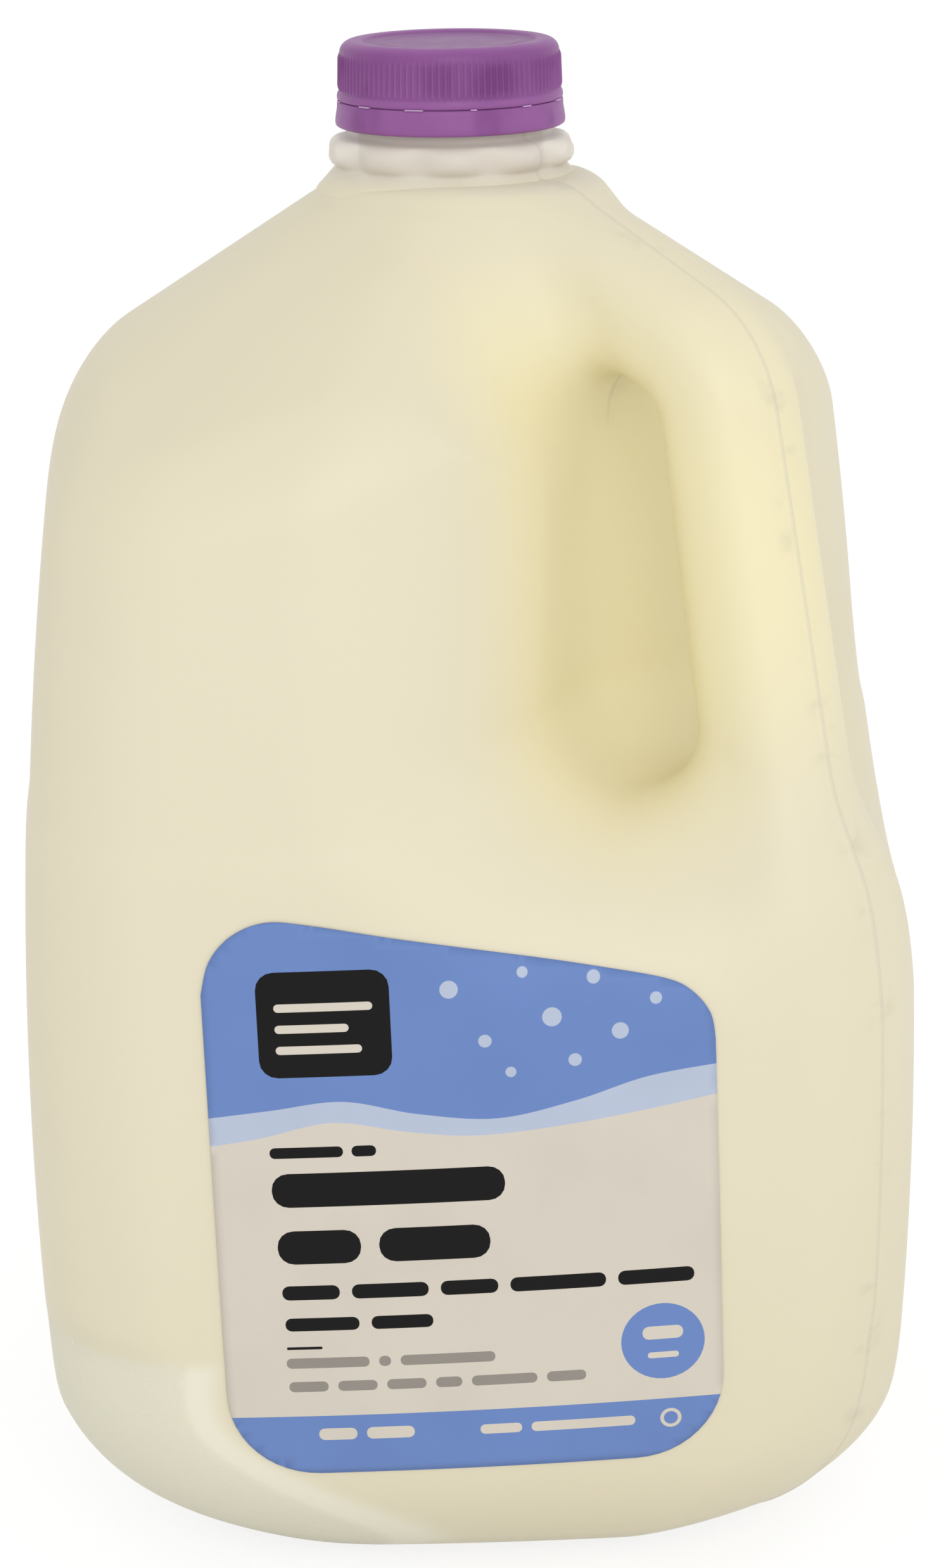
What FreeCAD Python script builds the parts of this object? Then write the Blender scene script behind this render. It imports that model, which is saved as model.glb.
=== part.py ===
import FreeCAD
import Part
import math
import os

# One gallon milk jug: blow-moulded bottle with a grip in one corner, its milk,
# a screw cap with its tamper band, and a film label on the front.
# Millimetres, +Z up, origin at the middle of the foot, label towards -Y.
# The two mould halves meet in the plane through Z and the handle corner.
# There "u" runs out to the handle corner (+X, -Y) and "w" is square to it.

# ---- body ----
half_width = 76.4          # axis to the middle of a side, at its fullest
fullest_height = 83.5      # height of the fullest section
side_bulge_radius = 742.0  # curve of each side from foot to shoulder
face_bulge_radius = 540.0  # curve of each side from corner to corner
corner_radius = 19.2       # upright corners
shoulder_slope = 32.8      # degrees below level, all round the neck
shoulder_round = 9.4       # shoulder into the sides
shoulder_height = 228.3    # where the shoulder meets the neck collar
base_round = 29.6          # sides into the foot
foot_trim = 0.3            # ground off the skin so that the foot is flat
shelf = 0.5                # lower body proud of the upper body
shelf_height = 132.5       # where the lower body starts
shelf_spread = 2.0         # half the height over which it starts
wall = 0.8                 # plastic thickness

# ---- corners drawn in above the foot ----
cut_height = 49.4          # they start here and deepen downwards
facet_start = 91.3         # front-left and back-right corners, axis to facet
facet_depth = 34.0         # how far the facet comes in at the foot
facet_bulge = 30.0         # radius of the pillowed facet
facet_round = 2.5          # facet into the sides
taper_start = 100.8        # handle corner and the one opposite
taper_depth = 36.9
taper_round = 11.9

# ---- grip: hollow handle and the recess behind it ----
recess_inner = 35.0        # axis to the recess wall in the mould plane
recess_draft = 22.0        # degrees, each recess wall off the w direction
recess_ridge_round = 10.0  # recess wall over the mould plane
recess_floor = 134.8       # height of the recess floor at the handle
recess_floor_slope = 0.12  # rise of the floor per mm towards the axis
recess_round = 14.0        # recess wall into its floor
recess_edge_round = 28.0   # recess into the body sides
grip_half_depth = 9.4      # half the handle, out along u, at its upper bend
grip_foot_depth = 11.4     # the same where it enters the lower body
grip_half_width = 11.4     # half the handle, across w
grip_blend = 15.0          # handle into the body
grip_top_out = 60.1        # handle axis at its upper bend, along u
grip_top_height = 204.9
grip_foot_out = 74.7       # handle axis where it enters the lower body
grip_foot_height = 122.4
grip_bend_radius = 15.2    # upper bend of the handle axis
grip_rise = 24.7           # degrees, ridge from the upper bend to the neck
ridge_end = 3.0            # the ridge stops this far up the collar
ridge_end_round = 2.0

# ---- neck ----
neck_radius = 16.8
neck_wall = 1.2
neck_height = 22.8         # shoulder height to the lip
bead_radius = 23.0         # foot of the collar
bead_half_height = 0.9
collar_radius = 19.6       # top of the collar, under the ring
ring_radius = 20.3         # lobed ring above the collar
ring_lobes = 10
ring_lobe_depth = 1.0
ring_lift = 4.5            # shoulder height to the ring
ring_height = 4.5
thread_radius = 0.7
thread_clearance = 0.25    # thread to the inside of the cap and band

# ---- closure ----
cap_radius = 18.7          # ribbed skirt
cap_roof = 2.25            # top of the cap above the lip
cap_top_round = 2.2
cap_recess = 0.5           # shallow disc in the top
cap_recess_radius = 14.6
rib_count = 108
rib_depth = 0.35
rib_margin = 1.5           # plain rim under the ribs
band_radius = 19.4         # tamper band at its lower edge
band_flare = 0.35          # top of the band beyond the skirt
band_lift = 10.9           # shoulder height to the band
band_height = 3.7
band_slit = 0.35           # slit between band and cap
bridge_count = 12

# ---- contents and label ----
milk_drop = 1.5            # milk level below the shoulder height
milk_gap = 0.05            # milk to the inside of the wall
label_width = 82.0
label_bottom = 26.7
label_height = 97.2
label_offset = -1.8        # off the middle of the front
label_tilt = 1.5           # degrees, right side up
label_drop = 12.8          # the wavy top edge falls by this to the right
label_top_round = 9.0
label_bottom_round = 15.0
label_thickness = 0.25
label_gap = 0.03

pages = 120                # sections round the handle opening
rays = 96                  # points in each section

ROOT_HALF = math.sqrt(0.5)
AXIS = FreeCAD.Vector(0, 0, 1)
ORIGIN = FreeCAD.Vector(0, 0, 0)

recess_lean = math.tan(math.radians(recess_draft))
opening_centre = (recess_inner + 12.5, recess_floor + 37.0)
neck_top = shoulder_height + neck_height
bore_radius = neck_radius - neck_wall
ring_bottom = shoulder_height + ring_lift
ring_top = ring_bottom + ring_height
cap_inner = neck_radius + thread_radius + thread_clearance
cap_top = neck_top + cap_roof
band_bottom = shoulder_height + band_lift
band_top = band_bottom + band_height
cap_bottom = band_top + band_slit
milk_level = shoulder_height - milk_drop


def rounded_and(first, second, radius):
    """Intersection of two distance fields with a round of this radius."""
    a = first + radius
    b = second + radius
    if a > 0.0 and b > 0.0:
        return math.hypot(a, b) - radius
    return max(a, b) - radius


def rounded_or(first, second, radius):
    """Union of two distance fields with a fillet of this radius."""
    return -rounded_and(-first, -second, radius)


def to_world(u, w, z):
    return ((u + w) * ROOT_HALF, (w - u) * ROOT_HALF, z)


def body_field(x, y, z):
    """Bulged square prism, shoulder cone, rounded foot, drawn-in corners."""
    half = half_width - (z - fullest_height) ** 2 / (2.0 * side_bulge_radius)
    half = half - shelf * (0.5 + 0.5 * math.tanh((z - shelf_height) / shelf_spread))
    bulge = face_bulge_radius
    side_x = math.hypot(abs(x) + bulge - half, y) - bulge
    side_y = math.hypot(abs(y) + bulge - half, x) - bulge
    field = rounded_and(side_x, side_y, corner_radius)
    slope = math.radians(shoulder_slope)
    out = math.hypot(x, y) - bead_radius
    cone = out * math.sin(slope) + (z - shoulder_height) * math.cos(slope)
    field = rounded_and(field, cone, shoulder_round)
    field = max(field, z - shoulder_height - 1.0)
    field = rounded_and(field, -z - foot_trim, base_round)
    if z < cut_height:
        drop = (cut_height - z) / cut_height
        pillow = math.hypot(facet_bulge, (x - y) * ROOT_HALF) - facet_bulge
        facet = abs(x + y) * ROOT_HALF - facet_start + facet_depth * drop ** 3 + pillow
        taper = abs(x - y) * ROOT_HALF - taper_start + taper_depth * drop * drop
        field = rounded_and(field, facet, facet_round)
        field = rounded_and(field, taper, taper_round)
    return field


def recess_field(u, w, z):
    """Space cut out of the handle corner, open to both sides and upwards."""
    spread = math.hypot(w, recess_ridge_round) - recess_ridge_round
    behind = (recess_inner + recess_lean * spread - u) * math.cos(math.radians(recess_draft))
    floor = recess_floor + recess_floor_slope * (opening_centre[0] - u) - z
    return rounded_and(behind, floor, recess_round)


def grip_axis():
    """Handle axis in the mould plane: neck, round upper bend, foot."""
    rise = math.radians(grip_rise)
    top = (grip_top_out, grip_top_height)
    run = grip_top_out - 0.4 * bead_radius
    neck_end = (top[0] - run, top[1] + run * math.tan(rise))
    foot = (grip_foot_out, grip_foot_height)
    to_neck = (neck_end[0] - top[0], neck_end[1] - top[1])
    to_foot = (foot[0] - top[0], foot[1] - top[1])
    length_neck = math.hypot(*to_neck)
    length_foot = math.hypot(*to_foot)
    turn = math.acos((to_neck[0] * to_foot[0] + to_neck[1] * to_foot[1]) / (length_neck * length_foot))
    tangent = grip_bend_radius / math.tan(turn / 2.0)
    start = [top[i] + to_neck[i] / length_neck * tangent for i in (0, 1)]
    end = [top[i] + to_foot[i] / length_foot * tangent for i in (0, 1)]
    middle = [(start[i] + end[i]) / 2.0 for i in (0, 1)]
    inward = [middle[i] - top[i] for i in (0, 1)]
    reach = math.hypot(*inward)
    centre_distance = grip_bend_radius / math.sin(turn / 2.0)
    centre = [top[i] + inward[i] / reach * centre_distance for i in (0, 1)]
    return neck_end, start, centre, end, foot


GRIP = grip_axis()


def distance_to_run(u, z, first, last):
    """Distance from a point in the mould plane to one straight run."""
    du = last[0] - first[0]
    dz = last[1] - first[1]
    share = ((u - first[0]) * du + (z - first[1]) * dz) / (du * du + dz * dz)
    share = min(1.0, max(0.0, share))
    return math.hypot(u - first[0] - share * du, z - first[1] - share * dz)


def distance_to_grip(u, z):
    """Distance from a point in the mould plane to the handle axis."""
    neck_end, start, centre, end, foot = GRIP
    nearest = min(distance_to_run(u, z, neck_end, start), distance_to_run(u, z, end, foot))
    angle = math.atan2(z - centre[1], u - centre[0])
    first = math.atan2(end[1] - centre[1], end[0] - centre[0])
    last = math.atan2(start[1] - centre[1], start[0] - centre[0])
    if first <= angle <= last:
        on_bend = abs(math.hypot(u - centre[0], z - centre[1]) - grip_bend_radius)
        nearest = min(nearest, on_bend)
    return nearest


def grip_field(u, w, z):
    """Rounded oblong tube round the handle axis."""
    share = (grip_top_height - z) / (grip_top_height - grip_foot_height)
    depth = grip_half_depth + (grip_foot_depth - grip_half_depth) * min(1.0, max(0.0, share))
    across = abs(w) / grip_half_width
    along = distance_to_grip(u, z) / depth
    size = (across ** 2.5 + along ** 2.5) ** 0.4
    return (size - 1.0) * depth


def jug_field(u, w, z):
    """Negative inside the blown skin, positive outside."""
    x, y, _ = to_world(u, w, z)
    body = body_field(x, y, z)
    carved = rounded_and(body, -recess_field(u, w, z), recess_edge_round)
    joined = rounded_or(carved, grip_field(u, w, z), grip_blend)
    return rounded_and(joined, z - shoulder_height - ridge_end, ridge_end_round)


def skin_normal(point):
    """Outward direction of the skin at a point given as (u, w, z)."""
    step = 0.05
    slope = []
    for i in range(3):
        ahead = list(point)
        behind = list(point)
        ahead[i] += step
        behind[i] -= step
        slope.append(jug_field(*ahead) - jug_field(*behind))
    length = math.sqrt(sum(s * s for s in slope))
    return [s / length for s in slope]


def page_point(page, core, ray, reach):
    """Point at this reach along a ray of one page, as (u, w, z).

    The pages hinge on the handle opening. Off the mould plane they fold
    back with the recess walls, so that every page cuts one closed ring.
    """
    w = reach * math.sin(ray)
    distance = core + reach * math.cos(ray)
    fold = recess_lean * (math.sqrt(w * w + 144.0) - 12.0)
    u = opening_centre[0] + distance * math.cos(page) + fold
    z = opening_centre[1] + distance * math.sin(page)
    return (u, w, z)


def page_core(page):
    """Middle of the material along a page in the mould plane."""
    step = 0.5
    distance = 0.0
    while jug_field(*page_point(page, distance, 0.0, 0.0)) >= 0.0:
        distance += step
    inner = distance
    while jug_field(*page_point(page, distance, 0.0, 0.0)) < 0.0:
        distance += step
    return (inner + distance) / 2.0


def skin_points():
    """Grid of skin points: one ring for each page round the opening."""
    grid = []
    for i in range(pages):
        page = 2.0 * math.pi * i / pages
        core = page_core(page)
        ring = []
        for j in range(rays):
            ray = 2.0 * math.pi * j / rays - math.pi
            low = 0.0
            high = 4.0
            while jug_field(*page_point(page, core, ray, high)) < 0.0:
                low = high
                high += 4.0
            for _ in range(16):
                middle = (low + high) / 2.0
                if jug_field(*page_point(page, core, ray, middle)) < 0.0:
                    low = middle
                else:
                    high = middle
            ring.append(page_point(page, core, ray, (low + high) / 2.0))
        grid.append(ring)
    return grid


def cyclic_poles(values):
    """Poles of the uniform closed cubic spline through these values.

    Each value is a sixth of its pole's neighbours and four sixths of the
    pole, which repeated correction solves to well under a micrometre.
    """
    count = len(values)
    poles = list(values)
    for _ in range(26):
        poles = [
            poles[i] + 0.9 * (values[i] - (poles[i - 1] + 4.0 * poles[i] + poles[(i + 1) % count]) / 6.0)
            for i in range(count)
        ]
    return poles


def closed_surface(points):
    """Spline surface, closed both ways, through a grid of world points."""
    axes = []
    for axis in range(3):
        rows = [cyclic_poles([point[axis] for point in ring]) for ring in points]
        columns = [cyclic_poles(list(column)) for column in zip(*rows)]
        axes.append([list(row) for row in zip(*columns)])
    poles = []
    for i in range(len(points)):
        row = [FreeCAD.Vector(axes[0][i][j], axes[1][i][j], axes[2][i][j]) for j in range(len(points[0]))]
        poles.append(row)
    surface = Part.BSplineSurface()
    surface.buildFromPolesMultsKnots(
        poles,
        [1] * (pages + 1),
        [1] * (rays + 1),
        [float(i) for i in range(pages + 1)],
        [float(j) for j in range(rays + 1)],
        True,
        True,
        3,
        3,
    )
    return surface


def skin_solid(grid, normals, inset):
    """Solid inside the skin, moved in by the inset, in four patches."""
    points = []
    for ring, directions in zip(grid, normals):
        moved = []
        for point, normal in zip(ring, directions):
            inner = [point[i] - inset * normal[i] for i in range(3)]
            moved.append(to_world(*inner))
        points.append(moved)
    surface = closed_surface(points)
    surface.setUNotPeriodic()
    surface.setVNotPeriodic()
    faces = []
    for i in range(2):
        for j in range(2):
            patch = surface.copy()
            patch.segment(pages * i / 2, pages * (i + 1) / 2, rays * j / 2, rays * (j + 1) / 2)
            faces.append(patch.toShape())
    skin = Part.makeCompound(faces)
    skin.sewShape(0.001)
    solid = Part.Solid(skin.Shells[0])
    if solid.Volume < 0.0:
        solid.reverse()
    return solid


def revolved(profile):
    """Solid of revolution about Z from (radius, height) points."""
    points = [FreeCAD.Vector(radius, 0, height) for radius, height in profile]
    face = Part.Face(Part.makePolygon(points + [points[0]]))
    return face.revolve(ORIGIN, AXIS, 360)


def cylinder(radius, bottom, top):
    return Part.makeCylinder(radius, top - bottom, FreeCAD.Vector(0, 0, bottom))


def lobed_ring():
    """Ring whose rim waves in and out, as one closed spline."""
    samples = ring_lobes * 8
    points = []
    for i in range(samples):
        angle = 2.0 * math.pi * i / samples
        radius = ring_radius + ring_lobe_depth * math.cos(ring_lobes * angle)
        points.append(FreeCAD.Vector(radius * math.cos(angle), radius * math.sin(angle), ring_bottom))
    rim = Part.BSplineCurve()
    rim.interpolate(points, PeriodicFlag=True)
    face = Part.Face(Part.Wire(rim.toShape()))
    return face.extrude(FreeCAD.Vector(0, 0, ring_top - ring_bottom))


def neck_solid():
    """Neck outside: sloping collar, lobed ring, tube and one round thread."""
    low = shoulder_height - 2.0 * bead_half_height
    profile = [
        (0.0, low),
        (bead_radius - bead_half_height, low),
        (bead_radius, shoulder_height - bead_half_height),
        (bead_radius, shoulder_height + bead_half_height),
        (collar_radius, ring_bottom),
        (0.0, ring_bottom),
    ]
    tube = cylinder(neck_radius, ring_bottom - 1.0, neck_top)
    thread_height = (cap_bottom + neck_top) / 2.0
    thread = Part.makeTorus(neck_radius, thread_radius, FreeCAD.Vector(0, 0, thread_height), AXIS)
    neck = tube.fuse([revolved(profile), lobed_ring(), thread])
    return neck.removeSplitter()


def make_jug(outer, inner):
    bore = cylinder(bore_radius, shoulder_height - 8.0, neck_top + 1.0)
    size = 4.0 * half_width
    below = Part.makeBox(size, size, size, FreeCAD.Vector(-size / 2, -size / 2, -size))
    shell = outer.cut(below).fuse(neck_solid())
    return shell.cut(inner).cut(bore)


def make_milk(inside):
    """Milk up to its level, clear of the wall by a hair."""
    size = 4.0 * half_width
    above = Part.makeBox(size, size, size, FreeCAD.Vector(-size / 2, -size / 2, milk_level))
    return inside.cut(above)


def ribs(radius, bottom, top):
    """Upright grooves round the skirt, to be cut away."""
    tools = []
    for i in range(rib_count):
        angle = 360.0 * i / rib_count
        groove = Part.makeCylinder(rib_depth, top - bottom, FreeCAD.Vector(radius, 0, bottom))
        groove.rotate(ORIGIN, AXIS, angle)
        tools.append(groove)
    return tools


def make_cap():
    """Cap hollow from below, shallow disc on top, ribbed skirt."""
    roof = neck_top + thread_clearance
    outside = cylinder(cap_radius, cap_bottom, cap_top)
    rim = [edge for edge in outside.Edges if abs(edge.CenterOfMass.z - cap_top) < 0.01]
    outside = outside.makeFillet(cap_top_round, rim)
    cavity = cylinder(cap_inner, cap_bottom - 1.0, roof)
    disc = cylinder(cap_recess_radius, cap_top - cap_recess, cap_top + 1.0)
    cap = outside.cut([cavity, disc])
    return cap.cut(ribs(cap_radius, cap_bottom + rib_margin, cap_top - cap_top_round))


def make_band():
    """Tamper band, flared a little, with its bridges up to the cap."""
    profile = [
        (cap_inner, band_bottom + 0.6),
        (band_radius - 0.5, band_bottom),
        (band_radius, band_bottom + 0.6),
        (cap_radius + band_flare, band_top),
        (cap_inner, band_top),
    ]
    band = revolved(profile)
    bridges = []
    for i in range(bridge_count):
        bridge = Part.makeBox(0.8, 0.8, band_slit, FreeCAD.Vector(cap_inner + 0.05, -0.4, band_top))
        bridge.rotate(ORIGIN, AXIS, 360.0 * (i + 0.5) / bridge_count)
        bridges.append(bridge)
    return band.fuse(bridges)


def front_depth(x, z, lift):
    """Y of the front skin at this place, moved outwards by the lift."""
    low = 0.0
    high = half_width + 5.0
    for _ in range(30):
        middle = (low + high) / 2.0
        u = (x + middle) * ROOT_HALF
        w = (x - middle) * ROOT_HALF
        if jug_field(u, w, z) < 0.0:
            low = middle
        else:
            high = middle
    return -low - lift


def front_patch(lift):
    """Spline patch lying over the label's place, moved out by the lift."""
    margin = 4.0
    across = 14
    upward = 18
    points = []
    for i in range(across + 1):
        x = label_offset + (label_width + 2 * margin) * (i / across - 0.5)
        column = []
        for j in range(upward + 1):
            z = label_bottom - margin + (label_height + 2 * margin) * j / upward
            column.append(FreeCAD.Vector(x, front_depth(x, z, lift), z))
        points.append(column)
    patch = Part.BSplineSurface()
    patch.interpolate(points)
    return patch.toShape()


def label_outline():
    """Label seen from the front: round lower corners, falling top edge."""
    half = label_width / 2.0
    label_top = label_bottom + label_height
    right_top = label_top - label_drop
    corner = label_bottom_round
    top = label_top_round
    place = FreeCAD.Vector
    front = 0.0
    bottom_left = place(-half, front, label_bottom + corner)
    bottom_start = place(-half + corner, front, label_bottom)
    bottom_end = place(half - corner, front, label_bottom)
    bottom_right = place(half, front, label_bottom + corner)
    side_right = place(half, front, right_top - top)
    top_right = place(half - top, front, right_top)
    top_left = place(-half + top, front, label_top)
    side_left = place(-half, front, label_top - top)
    diagonal = math.sqrt(0.5)
    turn = corner * (1.0 - diagonal)
    top_turn = top * (1.0 - diagonal)
    edges = [
        Part.Arc(bottom_left, place(-half + turn, front, label_bottom + turn), bottom_start),
        Part.LineSegment(bottom_start, bottom_end),
        Part.Arc(bottom_end, place(half - turn, front, label_bottom + turn), bottom_right),
        Part.LineSegment(bottom_right, side_right),
        Part.Arc(side_right, place(half - top_turn, front, right_top - top_turn), top_right),
        Part.LineSegment(top_right, top_left),
        Part.Arc(top_left, place(-half + top_turn, front, label_top - top_turn), side_left),
        Part.LineSegment(side_left, bottom_left),
    ]
    outline = Part.Wire([edge.toShape() for edge in edges])
    middle = place(0, front, label_bottom + label_height / 2.0)
    outline.rotate(middle, place(0, -1, 0), label_tilt)
    outline.translate(place(label_offset, 0, 0))
    return outline


def make_label():
    """Film between two copies of the front skin, cut to the outline."""
    outward = FreeCAD.Vector(0, -30, 0)
    prism = Part.Face(label_outline()).extrude(FreeCAD.Vector(0, -half_width - 8.0, 0))
    outside = front_patch(label_gap).extrude(outward)
    beyond = front_patch(label_gap + label_thickness).extrude(outward)
    return prism.common(outside).cut(beyond)


def main():
    os.makedirs("parts", exist_ok=True)
    grid = skin_points()
    normals = [[skin_normal(point) for point in ring] for ring in grid]
    outer = skin_solid(grid, normals, 0.0)
    inner = skin_solid(grid, normals, wall)
    inside = skin_solid(grid, normals, wall + milk_gap)
    nodes = {
        "jug": make_jug(outer, inner),
        "milk": make_milk(inside),
        "cap": make_cap(),
        "tamper_band": make_band(),
        "label": make_label(),
    }
    for name, shape in nodes.items():
        solids = shape.Solids
        piece = solids[0] if len(solids) == 1 else shape
        piece.exportStep(os.path.join("parts", name + ".step"))
        box = piece.BoundBox
        print(name, len(solids), "solid", round(piece.Volume / 1000.0, 2), "ml", piece.isValid(), box)


main()
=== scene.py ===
import math
from contextlib import contextmanager

import bmesh
import bpy
import numpy as np
from bpy.props import FloatProperty, FloatVectorProperty, IntProperty, PointerProperty
from mathutils import Matrix, Vector, geometry


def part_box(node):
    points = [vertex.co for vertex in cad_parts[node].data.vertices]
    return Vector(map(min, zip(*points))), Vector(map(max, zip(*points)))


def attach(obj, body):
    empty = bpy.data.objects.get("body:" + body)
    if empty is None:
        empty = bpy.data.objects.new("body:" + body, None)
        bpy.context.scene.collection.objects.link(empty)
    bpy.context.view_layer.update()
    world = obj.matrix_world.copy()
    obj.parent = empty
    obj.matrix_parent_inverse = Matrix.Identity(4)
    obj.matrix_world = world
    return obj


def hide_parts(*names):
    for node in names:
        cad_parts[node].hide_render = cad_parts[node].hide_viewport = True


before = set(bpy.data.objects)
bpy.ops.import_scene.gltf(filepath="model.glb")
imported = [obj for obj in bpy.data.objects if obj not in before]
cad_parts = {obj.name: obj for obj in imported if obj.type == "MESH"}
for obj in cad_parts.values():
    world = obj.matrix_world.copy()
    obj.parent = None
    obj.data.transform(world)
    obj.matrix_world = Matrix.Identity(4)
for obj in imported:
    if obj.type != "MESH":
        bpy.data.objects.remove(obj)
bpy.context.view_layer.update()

bl_info = {
    "name": "Milk Jug",
    "version": (1, 0, 0),
    "blender": (4, 5, 0),
    "location": "3D View > Sidebar > Milk Jug",
    "description": "Builds a one gallon milk jug with its milk, closure and label",
    "category": "Add Mesh",
}

ROOT_HALF = math.sqrt(0.5)
LABEL_DRAWN = 83.0     # width that the label's layout is drawn at
SHORT_SIDE = 1484
LONG_SIDE = 2475

SHELF_SPREAD = 0.002         # half the height over which the lower body starts
RIDGE_END = 0.003            # handle ridge above the shoulder height
RIDGE_END_ROUND = 0.002
HINGE_OUT = 0.0125           # recess wall to the hinge of the pages
HINGE_HEIGHT = 0.037         # recess floor to the hinge of the pages
PAGE_ROUND = 0.012           # fold of the pages over the mould plane
PUSH_UP_RADIUS = 0.042       # hollow in the middle of the foot
MILK_REACH = 0.0004          # milk into the bottle wall
FILM_THICKNESS = 0.0002
FLOOR_HALF = 6.0             # half the width of the floor

# handle opening in the mould plane, where there is no seam
OPENING_INNER = 0.020
OPENING_FOOT = 0.128
OPENING_TOP = (0.0601, 0.2049)
OPENING_LEAN = 0.177
SEAM_FADE = (0.190, 0.198)
RECESS_MIDDLE = (0.0435, 0.172)


def shade(red, green, blue):
    """Linear colour of display values from 0 to 255."""
    linear = []
    for value in (red, green, blue):
        part = value / 255.0
        linear.append(part / 12.92 if part <= 0.04045 else ((part + 0.055) / 1.055) ** 2.4)
    return tuple(linear)


def number(name, default, description):
    return FloatProperty(name=name, description=description, default=default)


def power(name, default, description):
    return FloatProperty(name=name, description=description, default=default, min=0.0)


def count(name, default, description, least):
    return IntProperty(name=name, description=description, default=default, min=least)


def length(name, default, description):
    return FloatProperty(
        name=name, description=description, default=default, precision=5, subtype="DISTANCE", unit="LENGTH"
    )


def angle(name, default, description):
    return FloatProperty(
        name=name, description=description, default=math.radians(default), subtype="ANGLE", unit="ROTATION"
    )


def colour(name, default, description):
    return FloatVectorProperty(
        name=name, description=description, default=default, size=3, min=0.0, max=1.0, subtype="COLOR"
    )


class JUG_PG_body(bpy.types.PropertyGroup):
    """Sizes of the blown skin."""

    half_width: length("Half width", 0.0764, "Axis to the middle of a side, at its fullest")
    fullest_height: length("Fullest height", 0.0835, "Height of the fullest section")
    side_bulge: length("Side bulge", 0.742, "Radius of each side from foot to shoulder")
    face_bulge: length("Face bulge", 0.540, "Radius of each side from corner to corner")
    corner_radius: length("Corner radius", 0.0192, "Upright corners")
    shoulder_slope: angle("Shoulder slope", 32.8, "Shoulder below level")
    shoulder_round: length("Shoulder round", 0.0094, "Shoulder into the sides")
    shoulder_height: length("Shoulder height", 0.2283, "Where the shoulder meets the collar")
    base_round: length("Base round", 0.0296, "Sides into the foot")
    foot_trim: length("Foot trim", 0.0003, "Flat ground on the foot")
    push_up: length("Push-up", 0.0025, "Hollow in the middle of the foot")
    cut_height: length("Cut height", 0.0494, "The lower corners are drawn in below this")
    facet_start: length("Facet start", 0.0913, "Axis to the facet at its top")
    facet_depth: length("Facet depth", 0.0340, "How far the facet comes in at the foot")
    facet_bulge: length("Facet bulge", 0.0300, "Radius of the pillowed facet")
    facet_round: length("Facet round", 0.0009, "Facet into the sides")
    taper_start: length("Taper start", 0.1008, "Axis to the tapered corner at its top")
    taper_depth: length("Taper depth", 0.0369, "How far the tapered corner comes in")
    taper_round: length("Taper round", 0.0119, "Tapered corner into the sides")
    ledge: length("Ledge", 0.0025, "How far the drawn-in corners start behind the sides")
    ledge_height: length("Ledge height", 0.0060, "Height of the ledge over them")
    shelf: length("Shelf", 0.0005, "Lower body proud of the upper body")
    shelf_height: length("Shelf height", 0.1325, "Where the lower body starts")
    collar_foot: length("Collar foot", 0.0230, "Radius of the collar at the shoulder")


class JUG_PG_grip(bpy.types.PropertyGroup):
    """Sizes of the handle and the recess behind it."""

    recess_inner: length("Recess wall", 0.0350, "Axis to the recess wall in the mould plane")
    recess_draft: angle("Recess draft", 22.0, "Recess walls off square")
    ridge_round: length("Ridge round", 0.0100, "Recess wall over the mould plane")
    recess_floor: length("Recess floor", 0.1348, "Height of the recess floor")
    floor_slope: number("Floor slope", 0.12, "Rise of the floor towards the axis")
    recess_round: length("Recess round", 0.0140, "Recess wall into its floor")
    edge_round: length("Edge round", 0.0280, "Recess into the sides")
    half_depth: length("Half depth", 0.0094, "Half the handle outwards, at its upper bend")
    foot_depth: length("Foot depth", 0.0114, "Half the handle outwards, at its lower end")
    half_width: length("Half width", 0.0114, "Half the handle, across")
    blend: length("Blend", 0.0150, "Handle into the body")
    top_out: length("Top out", 0.0601, "Upper bend of the handle, outwards")
    top_height: length("Top height", 0.2049, "Upper bend of the handle")
    foot_out: length("Foot out", 0.0747, "Lower end of the handle, outwards")
    foot_height: length("Foot height", 0.1224, "Lower end of the handle")
    bend_radius: length("Bend radius", 0.0152, "Upper bend of the handle")
    rise: angle("Rise", 24.7, "Ridge from the handle up to the neck")
    seam_height: length("Seam height", 0.00022, "Mould seam above the skin")
    seam_width: length("Seam width", 0.00045, "Half width of the mould seam")


class JUG_PG_closure(bpy.types.PropertyGroup):
    """Sizes of the neck, cap and tamper band."""

    neck_radius: length("Neck radius", 0.0168, "Outside of the neck tube")
    neck_wall: length("Neck wall", 0.0012, "Thickness of the neck")
    neck_height: length("Neck height", 0.0228, "Shoulder height to the lip")
    lobes: count("Lobes", 10, "Lobes round the ring", 3)
    lobe_depth: length("Lobe depth", 0.0016, "How far the ring comes in between lobes")
    cap_radius: length("Cap radius", 0.0187, "Ribbed skirt")
    cap_inner: length("Cap inside", 0.01775, "Inside of the cap and band")
    ribs: count("Ribs", 108, "Ribs round the cap", 12)
    rib_depth: length("Rib depth", 0.00030, "Height of the ribs")
    band_radius: length("Band radius", 0.0194, "Tamper band at its lower edge")
    bridges: count("Bridges", 12, "Bridges between band and cap", 3)


class JUG_PG_label(bpy.types.PropertyGroup):
    """Size and place of the label."""

    width: length("Width", 0.0820, "Label width")
    height: length("Height", 0.0972, "Label height at its left")
    bottom: length("Bottom", 0.0267, "Foot to the label")
    offset: length("Offset", -0.0018, "Off the middle of the front")
    tilt: angle("Tilt", 1.5, "Right side up")
    lift: length("Lift", 0.00032, "Outside of the film above the skin")


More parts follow.
